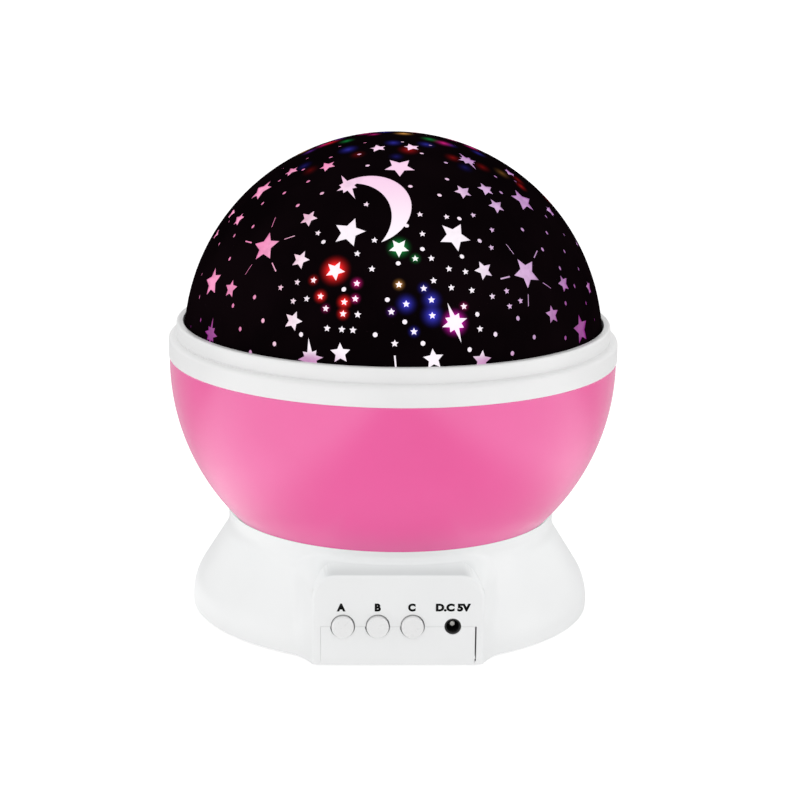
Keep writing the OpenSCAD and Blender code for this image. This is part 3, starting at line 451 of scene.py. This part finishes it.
# %% [markdown]
# ## Dress the CAD nodes
# A node whose shape is already right only needs its finish, by the slot that the record names.

# %% Give every node its finish
for part in frame["record"]["subparts"]:
    slots = frame["nodes"][part["node"]].data.materials
    slots.clear()
    slots.append(finishes["jack_black" if part["node"] == "dc_jack" else part["material_slot"]])

# %% [markdown]
# ## Turned shells
# A lathe piece starts as a circle with one corner for each corner of its outline. The corners are
# put in place, the soft ones are bevelled, and Spin takes the outline once round the axis.


# %% The lathe
def arc(centre, radius, start, end, steps):
    """Points on a round arc, as (radius, height) pairs, with angles in degrees."""
    angles = [math.radians(start + (end - start) * i / steps) for i in range(steps + 1)]
    return [(centre[0] + radius * math.cos(a), centre[1] + radius * math.sin(a)) for a in angles]


def soften(piece, corners, segments):
    """Bevels the outline's corner nearest to each given place."""
    for radius, height, size in corners:
        bpy.ops.mesh.select_all(action="DESELECT")
        shape = bmesh.from_edit_mesh(piece.data)
        corner = min(shape.verts, key=lambda v: (v.co.x - radius) ** 2 + (v.co.z - height) ** 2)
        corner.select = True
        shape.select_flush(True)
        bpy.ops.mesh.bevel(offset=size, segments=segments, affect="VERTICES")


def in_order(mesh):
    """Lays the corners and faces out in a fixed order, so that each run makes the same cuts."""
    order = sorted(range(len(mesh.vertices)), key=lambda i: tuple(mesh.vertices[i].co))
    place = {old: new for new, old in enumerate(order)}
    points = [tuple(mesh.vertices[i].co) for i in order]
    rings = []
    for face in mesh.polygons:
        ring = [place[i] for i in face.vertices]
        first = ring.index(min(ring))
        rings.append(ring[first:] + ring[:first])
    mesh.clear_geometry()
    mesh.from_pydata(points, [], sorted(rings))


def finish_mesh(piece, angle=30):
    """Merges doubles, points the faces outwards and smooths the soft edges."""
    bpy.ops.object.mode_set(mode="EDIT")
    bpy.ops.mesh.select_all(action="SELECT")
    bpy.ops.mesh.remove_doubles(threshold=0.002 * mm)
    bpy.ops.mesh.normals_make_consistent(inside=False)
    bpy.ops.object.mode_set(mode="OBJECT")
    in_order(piece.data)
    bpy.ops.object.shade_smooth_by_angle(angle=math.radians(angle))


def turn(name, outline, soft=(), steps=192, segments=4):
    """Spins a closed outline of (radius, height) corners about the turning axis."""
    bpy.ops.object.select_all(action="DESELECT")
    bpy.ops.mesh.primitive_circle_add(vertices=len(outline), radius=10 * mm)
    piece = bpy.context.object
    piece.name = piece.data.name = name
    for vertex, (radius, height) in zip(piece.data.vertices, outline):
        vertex.co = (radius, 0, height)
    bpy.ops.object.mode_set(mode="EDIT")
    soften(piece, soft, segments)
    bpy.ops.mesh.select_all(action="SELECT")
    bpy.ops.mesh.spin(steps=steps, angle=math.tau, center=(0, 0, 0), axis=(0, 0, 1), use_auto_merge=True)
    bpy.ops.object.mode_set(mode="OBJECT")
    finish_mesh(piece)
    print(name, len(piece.data.polygons), "faces")
    return piece


def dress(piece, body, finish, *nodes, slot=None):
    """Gives a new piece its finish and its body, and hides the nodes that it stands for."""
    piece.data.materials.clear()
    piece.data.materials.append(finishes[finish])
    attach(piece, body)
    if nodes:
        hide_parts(*nodes)


# %% [markdown]
# ## Bowl, rim band and collar
# The bowl is a slice of a hollow ball with a flat floor. The rim band and the collar are plain
# rings with a spigot each, so that one sits in the other, and their edges are softly rounded.


# %% The bowl
def ball_arc(centre, radius, low, high, steps):
    """The arc of a ball's outline from one height to another."""
    start, end = (math.degrees(math.asin((height - centre) / radius)) for height in (low, high))
    return arc((0, centre), radius, start, end, steps)


inner_r, bore_r = bowl_r - bowl_t, 12.8 * mm
floor_top = bowl_floor + bowl_t
groove_h, groove_depth = 0.3 * mm, 0.35 * mm
groove_low, groove_r = band_low - groove_h, bowl_r - groove_depth
bowl = turn("bowl_shell", [
    *ball_arc(bowl_z, bowl_r, bowl_floor, groove_low, 60), (groove_r, groove_low), (groove_r, band_low),
    *ball_arc(bowl_z, inner_r, band_low, floor_top, 48), (bore_r, floor_top), (bore_r, bowl_floor)],
    steps=256)
dress(bowl, "globe", "pink_plastic", "bowl")

# %% The rim band and the collar
spigot_t, spigot_slack, band_bore = 1.8 * mm, 0.2 * mm, collar_r - 1.55 * mm
spigot_r = inner_r - spigot_slack
spigot_bore, spigot_low = spigot_r - spigot_t, band_low - spigot_l
rim = turn("rim_shell", [
    (band_bore, band_low), (spigot_bore, band_low), (spigot_bore, spigot_low),
    (spigot_r, spigot_low), (spigot_r, band_low), (band_r, band_low),
    (band_r, collar_low), (band_bore, collar_low)],
    soft=[(band_r, collar_low, 1.3 * mm), (band_r, band_low, 0.4 * mm)], steps=256, segments=6)
dress(rim, "globe", "rim_plastic", "rim_band")

ledge_t, fit = 1.4 * mm, 0.1 * mm
ledge_top, spigot_out, lip_r = collar_low + ledge_t, band_bore - fit, dome_r + fit
collar_bore, spigot_end = spigot_out - spigot_t, collar_low - spigot_l
collar = turn("collar_shell", [
    (collar_bore, spigot_end), (spigot_out, spigot_end), (spigot_out, collar_low),
    (collar_r, collar_low), (collar_r, collar_high), (lip_r, collar_high),
    (lip_r, ledge_top), (collar_bore, ledge_top)],
    soft=[(collar_r, collar_high, 0.7 * mm), (lip_r, collar_high, 0.3 * mm)], steps=256, segments=6)
dress(collar, "dome_cap", "rim_plastic", "collar_ring")

# %% The clear dome
diffuser_r, diffuser_t = dome_r - 0.3 * mm, 1.2 * mm


def dome_angle(radius):
    return math.degrees(math.asin((ledge_top - dome_z) / radius))


dome = turn("clear_dome", [
    *arc((0, dome_z), diffuser_r, dome_angle(diffuser_r), 90, 72),
    *arc((0, dome_z), diffuser_r - diffuser_t, 90, dome_angle(diffuser_r - diffuser_t), 60)], steps=256)
dress(dome, "dome_cap", "lit_dome", "diffuser_dome")

# %% [markdown]
# ## Base housing
# The base is turned too, but a box grows out of its front for the buttons. On the real moulding
# the two melt into each other, so the turned skirt is first pulled up towards the box in a soft
# hollow, and only then joined to it.

# %% The flank's drawing
rim_flat, neck_flare, seat_gap = 0.25 * mm, 0.3 * mm, 0.3 * mm
neck_top_r = neck_r + neck_flare
seat_r = bowl_r + seat_gap
neck_top = bowl_z - math.sqrt(seat_r ** 2 - (neck_top_r - rim_flat) ** 2)
flank_x, flank_z = skirt_r - flank_r, table_gap + flank_rise
waist_x, waist_z = neck_r + waist_r, neck_top - neck_h
centres = Vector((waist_x - flank_x, waist_z - flank_z))
lean = math.degrees(math.atan2(centres.y, centres.x) - math.acos((flank_r + waist_r) / centres.length))


def flank(depth, fine=1):
    """The base's curve at a depth below its outer face, from the table up to the neck."""
    start = math.degrees(math.asin((table_gap - flank_z) / (flank_r - depth)))
    lower = arc((flank_x, flank_z), flank_r - depth, start, lean, 12 * fine)
    upper = arc((waist_x, waist_z), waist_r + depth, 180 + lean, 180, 6 * fine)
    (r0, z0), (r1, z1), parts = lower[-1], upper[0], 4 * fine
    straight = [(r0 + (r1 - r0) * i / parts, z0 + (z1 - z0) * i / parts) for i in range(1, parts)]
    return lower + straight + upper


print("the flank leans", round(lean, 1), "degrees; the neck ends at", round(neck_top / mm, 2))

# %% Turn the skirt, deck and spindle
spindle_r, spindle_bore = 9.5 * mm, 6 * mm
inner = flank(shell_t)
above = [p for p in inner if p[1] > deck_top]
below = [p for p in inner if p[1] < deck_low]
seat = [(r, bowl_z - math.sqrt(seat_r ** 2 - r ** 2)) for r in
        (neck_top_r - rim_flat - i * 0.65 * mm for i in range(4))]
neck_wall = [(neck_top_r + (neck_r - neck_top_r) * (1 - i / 4), waist_z + neck_h * i / 4)
             for i in range(1, 4)]
outside = [*flank(0, 2), *neck_wall, (neck_top_r, neck_top), *seat]
deck = [*reversed(above), (above[0][0], deck_top), (spindle_r, deck_top), (spindle_r, spindle_top),
        (spindle_bore, spindle_top), (spindle_bore, deck_low), (below[-1][0], deck_low), *reversed(below)]
housing = turn("housing_shell", outside + deck, steps=360)

# %% [markdown]
# The pull is worked out from the front: the nearer a point of the skirt lies to the box's outline,
# the further it moves forward. Beside the box it reaches the face's rounded edge, and above the
# roof it only fills the corner. Raising the share to a power starts the hollow level and ends it steep.

# %% Pull the skirt up to the box
box_w, box_drop, box_corner, box_edge = 47.5 * mm, 3.2 * mm, 6.8 * mm, 1.2 * mm
box_front = -skirt_r - 0.6 * mm
box_top = neck_top - box_drop
side_hollow, roof_hollow, hidden_w = 5.5 * mm, 2 * mm, 1.5 * mm
hollow_power = 2.3


def from_box(x, z):
    """Distance outside the box's outline seen from the front, and how much it lies to the side."""
    across, up = abs(x) - (box_w / 2 - box_corner), z - (box_top - box_corner)
    if across > 0 and up > 0:
        away = math.hypot(across, up)
        return away - box_corner, (across / away) ** 2
    return max(across, up) - box_corner, 1.0 if across > up else 0.0


def on_front_skin(point, low, high):
    """Tells whether a point lies on the outer skin in front, between two distances from the box."""
    outside = math.hypot(point.x, point.y) > neck_r - 0.5 * mm
    return outside and point.y < 0 and low < from_box(point.x, point.z)[0] < high


finer_zones = ((-2.5 * mm, 6.5 * mm), (-1.2 * mm, 3 * mm), (-0.6 * mm, 1 * mm))
bpy.ops.object.mode_set(mode="EDIT")
for low, high in finer_zones:
    bpy.ops.mesh.select_all(action="DESELECT")
    shape = bmesh.from_edit_mesh(housing.data)
    for face in shape.faces:
        face.select = all(on_front_skin(v.co, low, high) for v in face.verts)
    shape.select_flush(True)
    bmesh.update_edit_mesh(housing.data)
    bpy.ops.mesh.subdivide(number_cuts=1)
bpy.ops.object.mode_set(mode="OBJECT")
skin = flank(0, 8)


def skin_radius(height):
    """The outer face's radius at a height, read off the drawing."""
    for (r0, z0), (r1, z1) in zip(skin, skin[1:]):
        if z0 <= height <= z1:
            return r0 + (r1 - r0) * (height - z0) / (z1 - z0)
    return neck_r


moved, snap, skin_depth = 0, 0.08 * mm, 0.3 * mm
for vertex in housing.data.vertices:
    radius = math.hypot(vertex.co.x, vertex.co.y)
    near_box = on_front_skin(vertex.co, -hidden_w, side_hollow)
    if not near_box or radius < skin_radius(vertex.co.z) - skin_depth:
        continue
    gap, beside = from_box(vertex.co.x, vertex.co.z)
    if abs(gap) < snap and beside == 1:
        vertex.co.x -= math.copysign(gap, vertex.co.x)
        gap = 0
    width = roof_hollow + (side_hollow - roof_hollow) * beside
    to_face = vertex.co.y - (box_front + box_edge)
    full = roof_hollow + (to_face - roof_hollow) * beside
    share = max(0, 1 - gap / width) ** hollow_power if gap > 0 else 1 + gap / hidden_w
    vertex.co.y -= full * share
    moved += 1
print("pulled", moved, "points towards the box")


# %% Solid blocks and round bars to join and cut with
def block(name, low, high):
    """A cuboid between two corners."""
    bpy.ops.object.select_all(action="DESELECT")
    middle = [(a + b) / 2 for a, b in zip(low, high)]
    bpy.ops.mesh.primitive_cube_add(size=1, location=middle, scale=[b - a for a, b in zip(low, high)])
    piece = bpy.context.object
    piece.name = piece.data.name = name
    bpy.ops.object.transform_apply()
    return piece


def bar(name, radius, start, length, along="Z", sides=64):
    """A round bar from a point, along Z or Y."""
    bpy.ops.object.select_all(action="DESELECT")
    turned = (-math.pi / 2, 0, 0) if along == "Y" else (0, 0, 0)
    bpy.ops.mesh.primitive_cylinder_add(vertices=sides, radius=radius, depth=length, rotation=turned)
    piece = bpy.context.object
    piece.name = piece.data.name = name
    step = Vector((0, length / 2, 0)) if along == "Y" else Vector((0, 0, length / 2))
    piece.location = Vector(start) + step
    bpy.ops.object.transform_apply()
    return piece


def gather(pieces):
    """Makes one tool of several that don't touch."""
    bpy.ops.object.select_all(action="DESELECT")
    for piece in pieces:
        piece.select_set(True)
    bpy.context.view_layer.objects.active = pieces[0]
    bpy.ops.object.join()
    return bpy.context.object


def combine(piece, tool, operation):
    """Joins a tool to a piece or cuts it away, and throws the tool away."""
    in_order(piece.data)
    in_order(tool.data)
    change = piece.modifiers.new(operation.lower(), "BOOLEAN")
    change.operation, change.object, change.solver = operation, tool, "EXACT"
    bpy.ops.object.select_all(action="DESELECT")
    bpy.context.view_layer.objects.active = piece
    piece.select_set(True)
    bpy.ops.object.modifier_apply(modifier=change.name)
    bpy.data.objects.remove(tool)


# %% The control box
box = block("control_box", (-box_w / 2, box_front, table_gap), (box_w / 2, -neck_r + shell_t, box_top))


def select_edges(piece, chosen):
    """Selects the edges whose two ends pass a test."""
    bpy.ops.mesh.select_all(action="DESELECT")
    shape = bmesh.from_edit_mesh(piece.data)
    for edge in shape.edges:
        edge.select = chosen(*(v.co for v in edge.verts))
    shape.select_flush_mode()
    bmesh.update_edit_mesh(piece.data)


tiny = 0.01 * mm
bpy.ops.object.mode_set(mode="EDIT")
bpy.ops.mesh.select_mode(type="EDGE")
select_edges(box, lambda a, b: min(a.z, b.z) > box_top - tiny and abs(a.x - b.x) < tiny)
bpy.ops.mesh.bevel(offset=box_corner, segments=12, affect="EDGES")
select_edges(box, lambda a, b: max(a.y, b.y) < box_front + tiny and max(a.z, b.z) > table_gap + tiny)
bpy.ops.mesh.bevel(offset=box_edge, segments=4, affect="EDGES")
bpy.ops.mesh.select_mode(type="VERT")
bpy.ops.object.mode_set(mode="OBJECT")
combine(housing, box, "UNION")
print("box joined:", len(housing.data.polygons), "faces")

# %% Bosses, hollow and openings
box_t, cut = 2 * mm, 0.1 * mm
screws, screw_head_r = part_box("housing_screws"), 2.375 * mm
boss_x, boss_y, boss_r = screws[1].x - screw_head_r, screws[1].y - screw_head_r, 3.3 * mm
boss_low = 4.5 * mm
for x, y in ((-boss_x, -boss_y), (boss_x, -boss_y), (-boss_x, boss_y), (boss_x, boss_y)):
    combine(housing, bar("boss", boss_r, (x, y, boss_low), deck_low - boss_low + cut), "UNION")
hollow_back, inner_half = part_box("control_board")[1].y + 4 * mm, box_w / 2 - box_t
combine(housing, block("hollow", (-inner_half, box_front + box_t, 0), (inner_half, hollow_back, deck_low)),
        "DIFFERENCE")
tab_half, tab_gap, tab_slit, slit_low = 21.15 * mm, 0.05 * mm, 0.42 * mm, 1.7 * mm
face_out, face_in, tab_top = box_front - mm, box_front + box_t + mm, button_z - tab_gap
combine(housing, block("opening", (-tab_half - tab_gap, face_out, 0), (tab_half + tab_gap, face_in, tab_top)),
        "DIFFERENCE")
combine(housing, block("slit", (tab_half - mm, face_out, slit_low), (tab_half + tab_slit, face_in, tab_top)),
        "DIFFERENCE")

# %% Round holes, all cut at once
button_places, button_r, button_slack = [-15.15 * mm, -5.6 * mm, 3.95 * mm], 3.05 * mm, 0.25 * mm
sag_x, sag_z, jack_hole_r = 0.06 * mm, 0.11 * mm, 2.3 * mm
motor_y, motor_screw_x, motor_boss_r = -30 * mm, 14 * mm, 4.3 * mm
post_screw_x, post_pilot_l, small_pilot_r, case_pilot_r = 7.75 * mm, 6.5 * mm, 0.95 * mm, 1.3 * mm
through_face, through_deck = face_in - face_out, deck_top - deck_low + 2 * cut
deck_start = deck_low - cut
holes = [bar("hole", button_r + button_slack, (x + sag_x, face_out, button_z + sag_z), through_face, "Y")
         for x in button_places]
holes += [bar("hole", jack_hole_r, (jack_x, face_out, button_z), through_face, "Y"),
          bar("hole", motor_boss_r, (0, motor_y, deck_start), through_deck)]
holes += [bar("hole", small_pilot_r, (x, motor_y, deck_start), through_deck)
          for x in (-motor_screw_x, motor_screw_x)]
holes += [bar("hole", small_pilot_r, (x, 0, spindle_top - post_pilot_l), post_pilot_l + 1.5 * mm)
          for x in (-post_screw_x, post_screw_x)]
holes += [bar("hole", case_pilot_r, (x, y, 0), screws[1].z + 2 * cut)
          for x in (-boss_x, boss_x) for y in (-boss_y, boss_y)]
combine(housing, gather(holes), "DIFFERENCE")
finish_mesh(housing)
dress(housing, "base", "white_plastic", "base_housing")
print("housing:", len(housing.data.polygons), "faces and", len(holes), "round holes")

# %% Screw holes in the bowl's floor
hub_r, hub_hole_r = 17.63 * mm, 1.55 * mm
hub_places = arc((0, 0), hub_r, 30, 270, 2)
combine(bowl, gather([bar("hole", hub_hole_r, (x, y, bowl_floor - 0.5 * mm), bowl_t + mm)
                      for x, y in hub_places]), "DIFFERENCE")
finish_mesh(bowl)

# %% [markdown]
# ## Buttons and lettering
# A button is a small mushroom, turned on its own axis. One is made, and the other two are copies
# with meshes of their own. The letters are text turned into thin solid ink on the face.

# %% Three buttons
button_low, button_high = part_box("button_a")
button_front, flange_r = button_low.y, (button_high.x - button_low.x) / 2
cap_l, flange_t, stem_r = 3.7 * mm, 1.2 * mm, 1.5 * mm
stem_end = button_high.y - button_front
cap = turn("button_cap", [
    (0, 0), (button_r, 0), (button_r, cap_l), (flange_r, cap_l), (flange_r, cap_l + flange_t),
    (stem_r, cap_l + flange_t), (stem_r, stem_end), (0, stem_end)],
    soft=[(button_r, 0, 0.45 * mm)], steps=96, segments=5)
cap.rotation_euler = (-math.pi / 2, 0, 0)
bpy.ops.object.transform_apply()
for letter, x in zip("abc", button_places):
    copy = cap.copy()
    copy.data = cap.data.copy()
    copy.name = copy.data.name = "cap_" + letter
    bpy.context.scene.collection.objects.link(copy)
    copy.data.transform(Matrix.Translation((x, button_front, button_z)))
    dress(copy, "key_" + letter, "button_plastic", "button_" + letter)
bpy.data.objects.remove(cap)
print("three buttons")


# %% Lettering
letter_z, letter_h, proud = table_gap + 16.46 * mm, 2.27 * mm, 0.01 * mm
ink_t, bolder, ink_edge = 0.02, 0.03, 0.036


def letters(name, text, middle, cap_height, width=None):
    """Black letters on the face, as thin solids, centred on a place."""
    bpy.ops.object.select_all(action="DESELECT")
    bpy.ops.object.text_add()
    label = bpy.context.object
    label.data.body, label.data.extrude = text, ink_t
    label.data.offset, label.data.bevel_depth = bolder, ink_edge
    bpy.ops.object.convert(target="MESH")
    label = bpy.context.object
    label.name = label.data.name = name
    low = Vector([min(v.co[i] for v in label.data.vertices) for i in range(3)])
    high = Vector([max(v.co[i] for v in label.data.vertices) for i in range(3)])
    up = cap_height / (high.y - low.y)
    across = width / (high.x - low.x) if width else up
    for vertex in label.data.vertices:
        point = vertex.co - (low + high) / 2
        vertex.co = (middle[0] + point.x * across, box_front - proud - point.z * mm,
                     middle[1] + point.y * up)
    finish_mesh(label)
    dress(label, "base", "label_ink", slot="black_plastic")


for text, x in (("A", -15.6 * mm), ("B", -5.6 * mm), ("C", 3.7 * mm)):
    letters("letter_" + text.lower(), text, (x, letter_z), letter_h)
letters("letters_inlet", "D.C 5V", (15.05 * mm, letter_z), letter_h, 9.6 * mm)
print("four labels")

# %% [markdown]
# ## Stage and light
# The lamp stands on a plain pale floor. A pale world lights it softly from all round, and three
# large soft boxes shape it from the front and the sides. The glossy bowl faces down to the floor,
# so the floor shows it two bright cards, left and right, which only reflections see.

# %% The floor
def floor_finish():
    """A pale floor that keeps its shadows, with a bright card on each side for reflections."""
    made, tree, shader = material("floor_paint")
    shader.inputs["Base Color"].default_value = (0.86, 0.86, 0.86, 1)
    shader.inputs["Roughness"].default_value = 0.9
    shader.inputs["Specular IOR Level"].default_value = 0.1
    shader.inputs["Emission Color"].default_value = (1, 1, 1, 1)
    ray = tree.nodes.new("ShaderNodeLightPath").outputs
    place = split(tree, place_in(tree))
    left_card = maths(tree, "MULTIPLY", remap(tree, place["X"], -0.035, -0.1), 1.3)
    right_card = maths(tree, "MULTIPLY", remap(tree, place["X"], 0.06, 0.13), 1.1)
    in_front = remap(tree, place["Y"], 0.09, -0.02)
    cards = maths(tree, "MULTIPLY", maths(tree, "ADD", left_card, right_card), in_front)
    glow = maths(tree, "MULTIPLY", ray["Is Glossy Ray"], cards)
    for kind, level in (("Is Camera Ray", 0.5), ("Is Diffuse Ray", 0.23)):
        glow = maths(tree, "ADD", glow, maths(tree, "MULTIPLY", ray[kind], level))
    tree.links.new(glow, shader.inputs["Emission Strength"])
    return made


bpy.ops.object.select_all(action="DESELECT")
bpy.ops.mesh.primitive_plane_add(size=14, location=(0, 0, 0))
floor = bpy.context.object
floor.name = "floor"
floor.data.materials.append(floor_finish())
print("floor", round(floor.dimensions.x), "m wide")


# %% The world
def grey(level):
    return (level, level, level, 1)


def light_room(tree):
    """A pale room: brighter at the sides, dimmer in front for reflections, plain white for the eye."""
    ray = tree.nodes.new("ShaderNodeLightPath").outputs
    seen = maths(tree, "MAXIMUM", ray["Is Camera Ray"], ray["Is Transmission Ray"])
    direction = split(tree, place_in(tree, "Generated"))
    front = remap(tree, direction["Y"], -0.4, -0.9)
    beside = remap(tree, maths(tree, "ABSOLUTE", direction["X"]), 0.45, 0.9)
    glossy_room = mix_colours(tree, front, grey(1.1), grey(0.56))
    glossy_room = mix_colours(tree, beside, glossy_room, grey(1.5))
    soft_room = mix_colours(tree, beside, grey(0.62), grey(0.8))
    room = mix_colours(tree, ray["Is Diffuse Ray"], glossy_room, soft_room)
    tree.links.new(mix_colours(tree, seen, room, grey(1)), tree.nodes["Background"].inputs["Color"])


world = bpy.data.worlds.new("pale_room")
world.use_nodes = True
bpy.context.scene.world = world
light_room(world.node_tree)
print("world", world.name, "with", len(world.node_tree.nodes), "nodes")


# %% The soft boxes
def soft_box(name, place, width, height, power):
    """A large lamp that faces the middle of the object."""
    data = bpy.data.lights.new(name, "AREA")
    data.shape, data.size, data.size_y, data.energy = "RECTANGLE", width, height, power
    light = bpy.data.objects.new(name, data)
    bpy.context.scene.collection.objects.link(light)
    light.location = place
    light.rotation_euler = (Vector((0, 0, 0.07)) - light.location).to_track_quat("-Z", "Y").to_euler()


soft_box("left_box", (-1.1, -0.2, 0.35), 0.4, 1.1, 1.2)
soft_box("right_box", (1.1, -0.2, 0.35), 0.4, 1.1, 1.1)
soft_box("front_box", (0, -1.25, 0.8), 1.4, 1.1, 3.45)
bpy.context.scene.view_settings.view_transform = "Standard"
print("three soft boxes")
